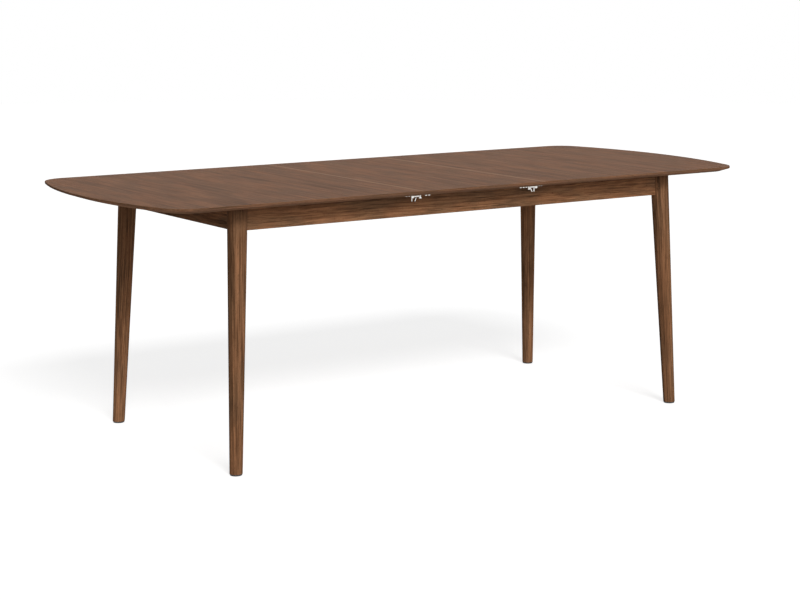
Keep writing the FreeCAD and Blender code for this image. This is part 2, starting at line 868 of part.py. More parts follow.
def post_path():
    """Room that the post sweeps as the hook swings over it, up to the hook's closed place."""
    pivot = Vector(0, 0, hook_bottom)
    mouth = keeper_post_radius + hook_mouth_play
    beyond = hook_reach + 2 * hook_ring_radius
    path = Part.makeCylinder(hook_reach + mouth, hook_thickness, pivot)
    path = path.cut(Part.makeCylinder(hook_reach - mouth, hook_thickness, pivot))
    path = path.common(box((-beyond, 0), (0, 2 * hook_ring_radius), (hook_bottom, hook_top)))
    seat = Part.makeCylinder(mouth, hook_thickness, Vector(-hook_reach, 0, hook_bottom))
    past_lip = box((-beyond, -hook_reach), (hook_lip, 2 * hook_ring_radius), (hook_bottom, hook_top))
    return [path, seat, past_lip]


def latch_hook():
    """Back hook of the right half: an eye, a strap, a claw that takes the post and two fingers."""
    pivot = Vector(0, 0, hook_bottom)
    eye = Part.makeCylinder(hook_eye_radius, hook_thickness, pivot)
    ring = Part.makeCylinder(hook_ring_radius, hook_thickness, Vector(-hook_reach, 0, hook_bottom))
    strap = box((-hook_reach, 0), (-hook_width / 2, hook_width / 2), (hook_bottom, hook_top))
    body = eye.fuse([ring, strap, lug_with_finger(), slanted_finger()]).removeSplitter()
    for cutter in post_path():
        body = body.cut(cutter)
    body = body.cut(Part.makeCylinder(hook_pivot_radius + pivot_clearance, hook_thickness, pivot))
    body.rotate(ORIGIN, UP, hook_rest_angle)
    body.translate(Vector(hook_pivot_x, latch_y, 0))
    return body


# ---- Nodes ----
def save_frame():
    """Nodes of the fixed frame: legs, aprons, blocks, rails and what fastens them."""
    leg_shape = leg()
    block_shape = corner_block()
    tie_rail = cross_rail(tie_rail_x, tie_rail_thickness, tie_rail_height())
    leaf_bearer = cross_rail(bearer_x, bearer_width, bearer_height)
    for side_name, side in SIDES.items():
        for face_name, face in FACES.items():
            save("leg_" + face_name + "_" + side_name, mirrored(leg_shape, side, face))
            save("corner_block_" + face_name + "_" + side_name, mirrored(block_shape, side, face))
        save("apron_" + side_name, mirrored(end_apron(), side, 1))
        save("tie_rail_" + side_name, mirrored(tie_rail, side, 1))
        save("leaf_bearer_" + side_name, mirrored(leaf_bearer, side, 1))
    for face_name, face in FACES.items():
        save("apron_" + face_name, mirrored(side_apron(), 1, face))
        save("guide_rail_" + face_name, mirrored(guide_rail(), 1, face))
    save("glide_strips", both_faces(glide_strip(), 1))
    save("end_glides", quarters(end_glide()))
    save("slide_stops", quarters(slide_stop()))
    save("foot_glides", quarters(foot_glide()))
    save("leg_bolts", quarters(hanger_bolt()))
    save("leg_bolt_washers", quarters(hanger_washer()))
    save("leg_bolt_nuts", quarters(hanger_nut()))
    save("corner_block_screws", [solid for item in block_screws() for solid in quarters(item)])
    rail_screws = screws(rail_screw_seats(), ACROSS, frame_screw, rail_screw_length())
    save("rail_screws", [solid for item in rail_screws for solid in both_faces(item, 1)])


def save_half(side_name, side):
    """Nodes of one half of the top and of what is screwed under it."""
    save("top_" + side_name, mirrored(top_half(), side, 1))
    for face_name, face in FACES.items():
        save("runner_" + face_name + "_" + side_name, mirrored(runner(), side, face))
        save("latch_hook_" + face_name + "_" + side_name, mirrored(latch_hook(), side, face))
    runner_screws = screws(runner_screw_seats(), UP, frame_screw, runner_screw_length())
    save("runner_screws_" + side_name, [solid for item in runner_screws for solid in both_faces(item, side)])
    save("support_plates_" + side_name, both_faces(support_plate(), side))
    save("hook_plates_" + side_name, both_faces(hook_plate(), side))
    save("hook_pins_" + side_name, both_faces(hook_pin(), side))
    support_length = support_plate_thickness + plate_screw_bite
    latch_length = latch_plate_thickness + plate_screw_bite
    plate_screws = screws(support_plate_screw_seats(), UP, plate_screw, support_length)
    plate_screws += screws(hook_plate_screw_seats(), UP, plate_screw, latch_length)
    save("plate_screws_" + side_name, [solid for item in plate_screws for solid in both_faces(item, side)])


def save_wing(face_name, face, hinge_cup):
    """Nodes of one wing of the leaf, its hinge cups and its keepers."""
    save("leaf_wing_" + face_name, mirrored(leaf_wing(), 1, face))
    save("leaf_hinges_" + face_name, [hinge_cup(x) for x in hinge_places()])
    save("latch_keepers_" + face_name, both_sides(latch_keeper(), face))
    length = latch_plate_thickness + plate_screw_bite
    keeper_screws = screws(keeper_plate_screw_seats(), UP, keeper_screw, length)
    save("keeper_screws_" + face_name, [solid for item in keeper_screws for solid in both_sides(item, face)])


def main():
    os.makedirs("parts", exist_ok=True)
    save_frame()
    for side_name, side in SIDES.items():
        save_half(side_name, side)
    save_wing("front", -1, hinge_tongue_cup)
    save_wing("back", 1, hinge_socket_cup)


main()
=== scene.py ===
import math
from typing import NamedTuple

import bpy
from bpy.props import FloatProperty, FloatVectorProperty, PointerProperty
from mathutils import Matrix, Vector


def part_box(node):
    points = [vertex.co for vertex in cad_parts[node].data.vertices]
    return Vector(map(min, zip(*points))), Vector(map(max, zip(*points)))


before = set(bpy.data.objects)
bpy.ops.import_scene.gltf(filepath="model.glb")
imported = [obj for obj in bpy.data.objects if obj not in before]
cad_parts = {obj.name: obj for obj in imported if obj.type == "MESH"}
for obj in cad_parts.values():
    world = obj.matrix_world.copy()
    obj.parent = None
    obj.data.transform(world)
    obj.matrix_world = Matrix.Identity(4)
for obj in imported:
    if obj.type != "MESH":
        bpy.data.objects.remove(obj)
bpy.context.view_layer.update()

bl_info = {
    "name": "Butterfly leaf table",
    "version": (1, 0, 0),
    "blender": (4, 5, 0),
    "location": "3D View > Sidebar > Table",
    "description": "Finishes of an extending walnut table, laid over its fixed frame, and a plain studio",
    "category": "Object",
}

SIDES = {"left": -1, "right": 1}
FACES = {"front": -1, "back": 1}

LEAF_WINGS = ["leaf_wing_front", "leaf_wing_back"]
SIDE_APRONS = ["apron_front", "apron_back"]
END_APRONS = ["apron_left", "apron_right"]
# Tone of each board: partly the board's own, partly painted light. The back legs and the aprons under the top
# are painted lighter against the shade they stand in, and the front legs a little darker where they catch
# more light.
BOARD_TONES_AND_PAINTED_FILL = {
    "leg_front_left": 0.965, "leg_front_right": 0.98, "leg_back_left": 1.21, "leg_back_right": 1.35,
    "apron_front": 1.35, "apron_back": 1.2, "apron_left": 1.06, "apron_right": 1.12,
}
APRON_FIGURE = {
    "Ring Contrast": 0.3,
    "Vein Contrast": 0.16,
    "Streak Contrast": 0.3,
    "Patch Contrast": 0.2,
    "Fibre Contrast": 1.3,
    "Fleck Contrast": 0.22,
    "Ripple": 0.008,
}
SLIDING_RAILS = [
    "guide_rail_front", "guide_rail_back",
    "runner_front_left", "runner_back_left", "runner_front_right", "runner_back_right",
]
CROSS_RAILS = ["tie_rail_left", "tie_rail_right", "leaf_bearer_left", "leaf_bearer_right"]
CORNER_BLOCKS = [
    "corner_block_front_left", "corner_block_back_left",
    "corner_block_front_right", "corner_block_back_right",
]
PALE_GLIDES = ["glide_strips", "end_glides"]
DARK_GLIDES = ["foot_glides", "slide_stops"]
LATCHES = [
    "latch_hook_front_left", "latch_hook_back_left", "latch_hook_front_right", "latch_hook_back_right",
    "latch_keepers_front", "latch_keepers_back", "hook_plates_left", "hook_plates_right",
    "hook_pins_left", "hook_pins_right", "keeper_screws_front", "keeper_screws_back",
    "plate_screws_left", "plate_screws_right",
]
LEG_BOLTS = ["leg_bolts", "leg_bolt_washers", "leg_bolt_nuts"]
WOOD_SCREWS = ["corner_block_screws", "rail_screws", "runner_screws_left", "runner_screws_right"]
LEAF_FITTINGS = ["support_plates_left", "support_plates_right", "leaf_hinges_front", "leaf_hinges_back"]


# ---- Wood grain ----
class Grain(NamedTuple):
    """A noise drawn out along the grain."""

    scale: float    # lumps in a metre across the grain
    stretch: float  # share of that number in a metre along the grain
    detail: float


SLOW_BEND = Grain(4.5, 0.22, 1.5)
QUICK_BEND = Grain(42.0, 0.16, 2.0)
BROAD_LINES = Grain(85.0, 0.05, 2.0)
FINE_STREAKS = Grain(290.0, 0.011, 3.0)
WARM_PATCHES = Grain(21.0, 0.3, 2.0)
SHORT_FLECKS = Grain(330.0, 0.06, 2.0)
FIBRES = Grain(1500.0, 0.007, 1.0)
LINE_RANGE = (0.34, 0.66)
PATCH_RANGE = (0.36, 0.64)
BROAD_SHARE = 0.25

RING_UNEVENNESS = 3.0
RING_NOISE_SCALE = 34.0
LATE_WOOD_FROM = 0.2
LATE_WOOD_TO = 0.9
PALEST_RING = 0.25
VEIN_SCALE = 46.0
VEIN_DETAIL = 3.0
VEIN_DRIFT = 0.05
VEIN_RANGE = (0.5, 0.72)

PORE_SCALE = 1600.0
ROUND_PORE = 0.0010  # the Pore Length that leaves pores round
PORE_RANGE = (0.66, 0.76)
PORES_THIN_OUT = (0.35, 0.95)  # part of a ring over which its pores get fewer
PORES_IN_LATE_WOOD = 0.45
PORE_ROUGHNESS = 0.2
STREAK_ROUGHNESS = 0.03
FIBRE_HEIGHT = 0.16
LATE_WOOD_HEIGHT = 0.08
PATCH_WARMTH = (0.7, 0.4, 0.2)

ALONG_X = (0.0, math.pi / 2, 0.0)
ALONG_Y = (-math.pi / 2, 0.0, 0.0)

# Of the top: its solid edge, the bevel under it (painted lighter, as painted bounce light) and the painted
# highlight of the eased edges at the seams
LIP_HEIGHT = 0.0066
EDGE_MARGIN = 0.0004
LIPPING_WIDTH = 0.05
# Painted light: the bevel under the lip faces the floor and is painted this much lighter, as bounce light
# from the floor
BEVEL_PAINTED_BOUNCE = 1.6
LIPPING_RINGS = 0.0045
LIPPING_ROUGHNESS = 0.92
LONG_LIPPING_PITH = (0.0, 0.31, 0.70)
END_LIPPING_PITH = (0.9, 0.0, 0.70)
SEAM_GLINT_INNER = 0.0024
SEAM_GLINT_OUTER = 0.0040
LEFT_PITH = (-0.78, 0.0, 0.52)
RIGHT_PITH = (0.66, 0.0, 0.50)
LEAF_PITH = (0.05, 0.0, 0.47)

# Of the legs, aprons and inner frame: how they lean and where their boards were cut from the log
LEG_LEAN_ALONG = 0.0478
LEG_LEAN_ACROSS = 0.0464
LEG_PITH_ALONG = 0.041
LEG_PITH_ACROSS = 0.043
SIDE_APRON_PITHS = (0.655, 0.735)
SIDE_APRON_PITH_SHARE = 0.9
END_APRON_PITHS = (0.65, 0.745)
END_APRON_PITH_SHARE = 0.93
RAIL_PITH_ASIDE = 0.05
RAIL_PITH_HEIGHT = 0.63
CROSS_RAIL_PITH_ASIDE = -0.03
CROSS_RAIL_PITH_HEIGHT = 0.62
BLOCK_PITH = (0.60, 0.20, 0.62)

# ---- Wear and finishes ----
WOOD_EDGE_WIDTH = 0.0012
WOOD_EDGE_STRENGTH = 0.35
METAL_EDGE_WIDTH = 0.0005
METAL_EDGE_STRENGTH = 0.6
METAL_EDGE_TONE = 1.15
NICKEL_DULL_TONE = 0.62
NICKEL_DULLNESS = 0.35
NICKEL_ROUGHNESS = 0.16
NICKEL_BUMP = 0.00002
ZINC_DULL_TONE = 0.55
ZINC_DULLNESS = 0.6
ZINC_ROUGHNESS = 0.3
ZINC_BUMP = 0.00003
PALE_NYLON_ROUGHNESS = 0.38
DARK_NYLON_ROUGHNESS = 0.45
NYLON_BUMP = 0.00005
BEECH_RINGS = 0.0045
BEECH_PORE_LENGTH = 0.0035
BEECH_BUMP = 0.0001
WORN_FROM = 0.995  # likeness of the rounded and the true normal at which an edge starts to wear
WORN_TO = 0.9
WEAR_PATCH_SCALE = 55.0
WEAR_PATCH_RANGE = (0.38, 0.62)
LEAST_WEAR = 0.35
METAL_CLOUD_SCALE = 210.0
METAL_CLOUD_RANGE = (0.42, 0.7)
BRUSH_SCALE = 260.0
BRUSH_STRETCH = (1.0, 14.0, 14.0)
BRUSH_SHARE = 0.7
GRIT_SCALE = 1900.0
DULL_ROUGHNESS = 0.35
BRUSH_ROUGHNESS = 0.2
NYLON_CLOUD_SCALE = 90.0
NYLON_CLOUD_RANGE = (0.3, 0.7)
NYLON_CLOUD_ROUGHNESS = 0.3
NYLON_GRAIN_SCALE = 2600.0
NYLON_SHADES = (0.86, 1.08)

# ---- Studio ----
KEY_LAMPS = {"left key lamp": (0.42, 1.13, -0.81), "right key lamp": (0.14, 1.13, -0.81)}
KEY_SPREAD = math.radians(14)
LOW_LAMP = (0.15, 1.0, -0.41)
LOW_SPREAD = math.radians(28)
BACK_LAMP = (-0.557, -0.83, -0.27)
BACK_SPREAD = math.radians(30)
FLOOR_SIDES = 96
SENSOR_WIDTH = 36.0


# ---- Settings ----
def colour(name, description, default):
    return FloatVectorProperty(
        name=name, description=description, default=default, subtype="COLOR", size=3, min=0.0, max=1.0
    )


def length(name, description, default):
    return FloatProperty(
        name=name, description=description, default=default, min=0.0, precision=5, unit="LENGTH",
        subtype="DISTANCE"
    )


def share(name, description, default, highest=1.0):
    return FloatProperty(
        name=name, description=description, default=default, min=0.0, max=highest, subtype="FACTOR"
    )


class WalnutSettings(bpy.types.PropertyGroup):
    """Colours and figure of the walnut that shows from outside."""

    veneer_early: colour("Veneer early wood", "Light part of a ring in the top", (0.207, 0.1015, 0.054))
    veneer_late: colour("Veneer late wood", "Dark part of a ring in the top", (0.1225, 0.0575, 0.0297))
    solid_early: colour("Solid early wood", "Light part of a ring in legs and aprons", (0.215, 0.105, 0.052))
    solid_late: colour("Solid late wood", "Dark part of a ring in legs and aprons", (0.088, 0.039, 0.0185))
    lipping_early: colour(
        "Lipping early wood", "Light part of a ring in the solid edge", (0.176, 0.089, 0.049)
    )
    lipping_late: colour(
        "Lipping late wood", "Dark part of a ring in the solid edge", (0.122, 0.060, 0.033)
    )
    # Painted highlight: a pale band on the top along each seam, standing in for light caught by the eased
    # edges
    seam_glint: colour("Seam edge", "Pale eased edges where the halves meet the leaf", (0.400, 0.240, 0.150))
    vein: colour("Vein", "Dark mineral streaks along the grain", (0.062, 0.027, 0.013))
    pore: colour("Pore", "Open pores, seen as short dark dashes", (0.036, 0.016, 0.009))
    worn_edge: colour("Worn edge", "Wood where an edge has been handled", (0.245, 0.128, 0.068))
    veneer_rings: length("Veneer ring spacing", "Width of a growth ring in the top's veneer", 0.0052)
    solid_rings: length("Solid ring spacing", "Width of a growth ring in legs and aprons", 0.0065)
    roughness: share("Roughness", "Roughness of the matt lacquer", 0.66)
    top_sheen: share("Top sheen", "Specular level of the lacquer on the top", 0.06)
    frame_sheen: share("Frame sheen", "Specular level of the oiled legs and aprons", 0.01)
    pore_depth: length("Pore depth", "Depth of the open pores", 0.00025)


class HiddenWoodSettings(bpy.types.PropertyGroup):
    """Colours of the beech inside the frame."""

    early_wood: colour("Early wood", "Light part of a growth ring", (0.60, 0.415, 0.255))
    late_wood: colour("Late wood", "Dark part of a growth ring", (0.46, 0.285, 0.155))
    fleck: colour("Fleck", "Short brown flecks along the grain", (0.30, 0.165, 0.082))
    roughness: share("Roughness", "Roughness of the planed wood", 0.62)


class FittingSettings(bpy.types.PropertyGroup):
    """Colours of the metal and nylon pieces."""

    nickel: colour("Nickel", "Bright plating of the latches", (0.80, 0.785, 0.755))
    zinc: colour("Zinc", "Plating of bolts, screws and plates", (0.60, 0.615, 0.63))
    pale_nylon: colour("Pale nylon", "Strips and buttons that the top slides on", (0.72, 0.70, 0.64))
    dark_nylon: colour("Dark nylon", "Foot glides and slide stops", (0.028, 0.026, 0.025))


class StudioSettings(bpy.types.PropertyGroup):
    """Floor, lamps and camera."""

    floor: colour("Floor", "Colour of the plain floor", (0.66, 0.66, 0.66))
    floor_radius: length("Floor radius", "Radius of the plain floor", 14.0)
    sky_strength: FloatProperty(
        name="Sky strength", description="Soft light from all around", default=0.13, min=0.0
    )
    key_strength: FloatProperty(
        name="Key strength", description="Soft lamp at the front, above the table", default=1.75,
        min=0.0
    )
    low_strength: FloatProperty(
        name="Low strength", description="Soft lamp at the front, at the height of the aprons", default=1.12,
        min=0.0
    )
    back_strength: FloatProperty(
        name="Back strength", description="Soft lamp behind the table, for its far side", default=0.75,
        min=0.0
    )
    floor_lift: share("Floor lift", "White that the floor shows over the light it gets", 0.745)
    camera_place: FloatVectorProperty(
        name="Camera place", description="Where the camera stands", default=(-3.1931, -4.7566, 1.3629),
        subtype="XYZ", unit="LENGTH", size=3
    )
    camera_drop: FloatProperty(
        name="Camera drop", description="How far the camera looks down", default=0.1742, subtype="ANGLE"
    )
    camera_turn: FloatProperty(
        name="Camera turn", description="How far the camera turns from +Y to +X", default=0.5912,
        subtype="ANGLE"
    )
    camera_lens: FloatProperty(
        name="Camera lens", description="Focal length in millimetres, on a 36 mm sensor", default=84.7,
        min=10.0
    )


# ---- Node helpers ----
class Graph:
    """Adds and links the nodes of one shader tree."""

    def __init__(self, tree):
        self.tree = tree
        tree.nodes.clear()

    def put(self, socket, value):
        if isinstance(value, bpy.types.NodeSocket):
            self.tree.links.new(value, socket)
        elif socket.type == "RGBA" and len(value) == 3:
            socket.default_value = (*value, 1.0)
        else:
            socket.default_value = value

    def add(self, kind, inputs=None, **settings):
        node = self.tree.nodes.new(kind)
        for name, value in settings.items():
            setattr(node, name, value)
        for key, value in (inputs or {}).items():
            self.put(node.inputs[key], value)
        return node

    def math(self, operation, *values, clamp=False):
        node = self.add("ShaderNodeMath", dict(enumerate(values)), operation=operation, use_clamp=clamp)
        return node.outputs[0]

    def vector(self, operation, *values):
        return self.add("ShaderNodeVectorMath", dict(enumerate(values)), operation=operation)

    def scaled(self, vector, amounts):
        return self.vector("MULTIPLY", vector, amounts).outputs["Vector"]

    def ramp(self, value, low, high, start=0.0, end=1.0):
        """Smooth step from start to end as value goes from low to high."""
        values = {"Value": value, "From Min": low, "From Max": high, "To Min": start, "To Max": end}
        return self.add("ShaderNodeMapRange", values, interpolation_type="SMOOTHSTEP").outputs[0]

    def mix(self, factor, first, second, blend="MIX"):
        values = {0: factor, 6: first, 7: second}
        return self.add("ShaderNodeMix", values, data_type="RGBA", blend_type=blend).outputs[2]

    def blend(self, factor, first, second):
        values = {0: factor, 2: first, 3: second}
        return self.add("ShaderNodeMix", values, data_type="FLOAT").outputs[0]

    def noise(self, vector, scale, detail=2.0, output=0):
        values = {"Vector": vector, "Scale": scale, "Detail": detail}
        return self.add("ShaderNodeTexNoise", values).outputs[output]

    def grain(self, vector, grain, output=0):
        """Noise of a Grain about local Z."""
        squeezed = self.scaled(vector, (1.0, 1.0, grain.stretch))
        return self.noise(squeezed, grain.scale, grain.detail, output)

    def centred(self, colour):
        """A noise's colour as a vector about zero."""
        return self.vector("SUBTRACT", colour, (0.5, 0.5, 0.5)).outputs["Vector"]

    def filled(self, tree, inputs):
        node = self.add("ShaderNodeGroup", node_tree=tree)
        for name, value in inputs.items():
            self.put(node.inputs[name], value)
        return node


def effect(name, inputs, outputs):
    """New shader node group with named sockets: its graph, its input node and its output node."""
    tree = bpy.data.node_groups.new(name, "ShaderNodeTree")
    graph = Graph(tree)
    for label, kind, default in inputs:
        socket = tree.interface.new_socket(name=label, in_out="INPUT", socket_type="NodeSocket" + kind)
        if default is not None:
            socket.default_value = (*default, 1.0) if kind == "Color" else default
    for label, kind in outputs:
        tree.interface.new_socket(name=label, in_out="OUTPUT", socket_type="NodeSocket" + kind)
    return graph, graph.add("NodeGroupInput").outputs, graph.add("NodeGroupOutput").inputs


def built_once(maker):
    """Makes the maker return the same data block each time it is asked."""
    made = {}

    def give(*names):
        if names not in made:
            made[names] = maker(*names)
        return made[names]

    give.__doc__ = maker.__doc__
    return give


# ---- Effects that several materials share ----
@built_once
def wood_figure():
    """Growth rings about a pith line along local Z, with veins, flecks, fibres and pores, in metres."""
    graph, given, result = effect("Wood Figure", [
        ("Vector", "Vector", None),
        ("Early Wood", "Color", (0.2, 0.1, 0.06)),
        ("Late Wood", "Color", (0.1, 0.05, 0.03)),
        ("Vein", "Color", (0.06, 0.03, 0.02)),
        ("Pore", "Color", (0.04, 0.02, 0.01)),
        ("Ring Spacing", "Float", 0.004),
        ("Ring Contrast", "Float", 0.7),
        ("Vein Contrast", "Float", 0.5),
        ("Streak Contrast", "Float", 0.4),
        ("Patch Contrast", "Float", 0.3),
        ("Fibre Contrast", "Float", 0.3),
        ("Fleck Contrast", "Float", 0.0),
        ("Pore Density", "Float", 0.7),
        ("Pore Length", "Float", 0.011),
        ("Wander", "Float", 0.03),
        ("Ripple", "Float", 0.008),
        ("Roughness", "Float", 0.5),
    ], [("Color", "Color"), ("Roughness", "Float"), ("Height", "Float")])
    place = given["Vector"]

    moved = place
    for bend, reach in ((SLOW_BEND, given["Wander"]), (QUICK_BEND, given["Ripple"])):
        way = graph.centred(graph.grain(place, bend, output=1))
        shift = graph.add("ShaderNodeVectorMath", {0: way, "Scale": reach}, operation="SCALE").outputs[0]
        moved = graph.vector("ADD", moved, shift).outputs["Vector"]

    radius = graph.vector("LENGTH", graph.scaled(moved, (1.0, 1.0, 0.0))).outputs["Value"]
    along = graph.add("ShaderNodeSeparateXYZ", {0: moved}).outputs["Z"]
    uneven = graph.add(
        "ShaderNodeTexNoise", {"W": radius, "Scale": RING_NOISE_SCALE, "Detail": 1.0}, noise_dimensions="1D"
    )
    count = graph.math("DIVIDE", radius, given["Ring Spacing"])
    count = graph.math("ADD", count, graph.math("MULTIPLY", uneven.outputs[0], RING_UNEVENNESS))
    phase = graph.math("FRACT", count)
    late = graph.math(
        "MULTIPLY", graph.ramp(phase, LATE_WOOD_FROM, LATE_WOOD_TO),
        graph.ramp(phase, LATE_WOOD_TO, 1.0, 1.0, 0.0)
    )
    ring = graph.add("ShaderNodeTexWhiteNoise", {"W": graph.math("FLOOR", count)}, noise_dimensions="1D")
    late = graph.math("MULTIPLY", late, graph.ramp(ring.outputs["Value"], 0.0, 1.0, PALEST_RING, 1.0))

    drift = graph.math("MULTIPLY", along, VEIN_DRIFT)
    flow = graph.add("ShaderNodeCombineXYZ", {0: radius, 1: drift}).outputs[0]
    band = graph.noise(flow, VEIN_SCALE, VEIN_DETAIL)
    broad = graph.ramp(graph.grain(moved, BROAD_LINES), *LINE_RANGE, -1.0, 1.0)
    streak = graph.ramp(graph.grain(moved, FINE_STREAKS), *LINE_RANGE, -1.0, 1.0)
    patch = graph.ramp(graph.grain(moved, WARM_PATCHES), *PATCH_RANGE, -1.0, 1.0)
    fleck = graph.ramp(graph.grain(moved, SHORT_FLECKS), *LINE_RANGE, -1.0, 1.0)
    fibre = graph.grain(place, FIBRES)
    dash = graph.math("DIVIDE", ROUND_PORE, given["Pore Length"])
    pore_place = graph.vector(
        "MULTIPLY", place, graph.add("ShaderNodeCombineXYZ", {0: 1.0, 1: 1.0, 2: dash}).outputs[0]
    ).outputs["Vector"]
    pore = graph.ramp(graph.noise(pore_place, PORE_SCALE, 0.0), *PORE_RANGE)
    pore = graph.math("MULTIPLY", pore, graph.ramp(phase, *PORES_THIN_OUT, 1.0, PORES_IN_LATE_WOOD))
    pore = graph.math("MULTIPLY", pore, given["Pore Density"])

    ring_mask = graph.math("MULTIPLY", late, given["Ring Contrast"])
    wood = graph.mix(ring_mask, given["Early Wood"], given["Late Wood"])
    vein_mask = graph.math("MULTIPLY", graph.ramp(band, *VEIN_RANGE), given["Vein Contrast"])
    wood = graph.mix(vein_mask, wood, given["Vein"])
    lines = graph.math(
        "ADD", graph.math("MULTIPLY", broad, BROAD_SHARE), graph.math("MULTIPLY", streak, 1.0 - BROAD_SHARE)
    )
    lines = graph.math("MULTIPLY", lines, given["Streak Contrast"])
    fine = graph.math("MULTIPLY", graph.math("SUBTRACT", fibre, 0.5), given["Fibre Contrast"])
    fine = graph.math("ADD", fine, graph.math("MULTIPLY", fleck, given["Fleck Contrast"]))
    shade = graph.math("ADD", graph.math("ADD", lines, fine), 1.0)
    warmth = graph.math("MULTIPLY", patch, given["Patch Contrast"])
    warmths = [graph.math("ADD", graph.math("MULTIPLY", warmth, part), 1.0) for part in PATCH_WARMTH]
    channels = {index: graph.math("MULTIPLY", shade, part) for index, part in enumerate(warmths)}
    shades = graph.add("ShaderNodeCombineXYZ", channels).outputs[0]
    wood = graph.mix(1.0, wood, shades, blend="MULTIPLY")
    graph.put(result["Color"], graph.mix(pore, wood, given["Pore"]))

    rough = graph.math("ADD", given["Roughness"], graph.math("MULTIPLY", pore, PORE_ROUGHNESS))
    rough = graph.math("ADD", rough, graph.math("MULTIPLY", streak, STREAK_ROUGHNESS))
    graph.put(result["Roughness"], rough)
    height = graph.math("SUBTRACT", graph.math("MULTIPLY", fibre, FIBRE_HEIGHT), pore)
    height = graph.math("SUBTRACT", height, graph.math("MULTIPLY", late, LATE_WOOD_HEIGHT))
    graph.put(result["Height"], height)
    return graph.tree


@built_once
def handled_edge():
    """Mask of the edges that hands and cloths have rubbed."""
    graph, given, result = effect("Handled Edge", [
        ("Vector", "Vector", None),
        ("Width", "Float", 0.0015),
        ("Strength", "Float", 1.0),
    ], [("Mask", "Float")])
    bevel = graph.add("ShaderNodeBevel", {"Radius": given["Width"]}, samples=4)
    facing = graph.add("ShaderNodeNewGeometry").outputs["Normal"]
    match = graph.vector("DOT_PRODUCT", bevel.outputs[0], facing).outputs["Value"]
    edge = graph.ramp(match, WORN_FROM, WORN_TO)
    patches = graph.noise(given["Vector"], WEAR_PATCH_SCALE, 4.0)
    patches = graph.ramp(patches, *WEAR_PATCH_RANGE, LEAST_WEAR, 1.0)
    mask = graph.math("MULTIPLY", graph.math("MULTIPLY", edge, patches), given["Strength"])
    graph.put(result["Mask"], mask)
    return graph.tree


@built_once
def plating():
    """Plated metal: faint clouds and fine scratches in tone, roughness and height."""
    graph, given, result = effect("Plating", [
        ("Vector", "Vector", None),
        ("Metal", "Color", (0.8, 0.8, 0.8)),
        ("Dull", "Color", (0.5, 0.5, 0.5)),
        ("Dullness", "Float", 0.3),
        ("Roughness", "Float", 0.2),
    ], [("Color", "Color"), ("Roughness", "Float"), ("Height", "Float")])
    clouds = graph.noise(given["Vector"], METAL_CLOUD_SCALE, 4.0)
    brush = graph.noise(graph.scaled(given["Vector"], BRUSH_STRETCH), BRUSH_SCALE, 2.0)
    grit = graph.noise(given["Vector"], GRIT_SCALE, 2.0)
    dull = graph.math("MULTIPLY", graph.ramp(clouds, *METAL_CLOUD_RANGE), given["Dullness"])
    graph.put(result["Color"], graph.mix(dull, given["Metal"], given["Dull"]))
    rough = graph.math("ADD", given["Roughness"], graph.math("MULTIPLY", dull, DULL_ROUGHNESS))
    scratched = graph.math("MULTIPLY", graph.math("SUBTRACT", brush, 0.5), BRUSH_ROUGHNESS)
    rough = graph.math("ADD", rough, scratched)
    graph.put(result["Roughness"], rough)
    height = graph.math(
        "ADD", graph.math("MULTIPLY", brush, BRUSH_SHARE), graph.math("MULTIPLY", grit, 1.0 - BRUSH_SHARE)
    )
    graph.put(result["Height"], height)
    return graph.tree


@built_once
def moulded_skin():
    """Fine texture of moulded nylon."""
    graph, given, result = effect("Moulded Skin", [
        ("Vector", "Vector", None),
        ("Plastic", "Color", (0.5, 0.5, 0.5)),
        ("Roughness", "Float", 0.4),
    ], [("Color", "Color"), ("Roughness", "Float"), ("Height", "Float")])
    cloud = graph.noise(given["Vector"], NYLON_CLOUD_SCALE, 3.0)
    grain = graph.noise(given["Vector"], NYLON_GRAIN_SCALE, 2.0)
    shade = graph.ramp(cloud, *NYLON_CLOUD_RANGE, *NYLON_SHADES)
    shades = graph.add("ShaderNodeCombineXYZ", {0: shade, 1: shade, 2: shade}).outputs[0]
    graph.put(result["Color"], graph.mix(1.0, given["Plastic"], shades, blend="MULTIPLY"))
    uneven = graph.math("MULTIPLY", graph.math("SUBTRACT", cloud, 0.5), NYLON_CLOUD_ROUGHNESS)
    rough = graph.math("ADD", given["Roughness"], uneven)
    graph.put(result["Roughness"], rough)
    graph.put(result["Height"], grain)
    return graph.tree


# ---- Materials ----
def new_material(name):
    material = bpy.data.materials.new(name)
    material.use_nodes = True
    graph = Graph(material.node_tree)
    shader = graph.add("ShaderNodeBsdfPrincipled")
    output = graph.add("ShaderNodeOutputMaterial", {"Surface": shader.outputs[0]})
    output.is_active_output = True
    return material, graph, shader


def object_place(graph):
    return graph.add("ShaderNodeTexCoord").outputs["Object"]


def local_place(graph, origin, turn):
    """Coordinates about a grain line through origin: turn is the rotation that takes Z to the grain."""
    return graph.add(
        "ShaderNodeMapping",
        {"Vector": object_place(graph), "Location": origin, "Rotation": turn},
        vector_type="TEXTURE",
    ).outputs[0]


def rough_bump(graph, shader, height, distance, strength=1.0):
    bump = graph.add("ShaderNodeBump", {"Height": height, "Distance": distance, "Strength": strength})
    graph.put(shader.inputs["Normal"], bump.outputs[0])


def walnut_figure(graph, place, look):
    walnut = bpy.context.scene.table_walnut
    values = {
        "Vector": place,
        "Early Wood": tuple(walnut.solid_early),
        "Late Wood": tuple(walnut.solid_late),
        "Vein": tuple(walnut.vein),
        "Pore": tuple(walnut.pore),
        "Ring Spacing": walnut.solid_rings,
        "Ring Contrast": 0.4,
        "Vein Contrast": 0.22,
        "Streak Contrast": 0.46,
        "Patch Contrast": 0.12,
        "Fibre Contrast": 0.9,
        "Fleck Contrast": 0.14,
        "Wander": 0.02,
        "Ripple": 0.0045,
        "Roughness": walnut.roughness,
    }
    values.update(look)
    return graph.filled(wood_figure(), values)


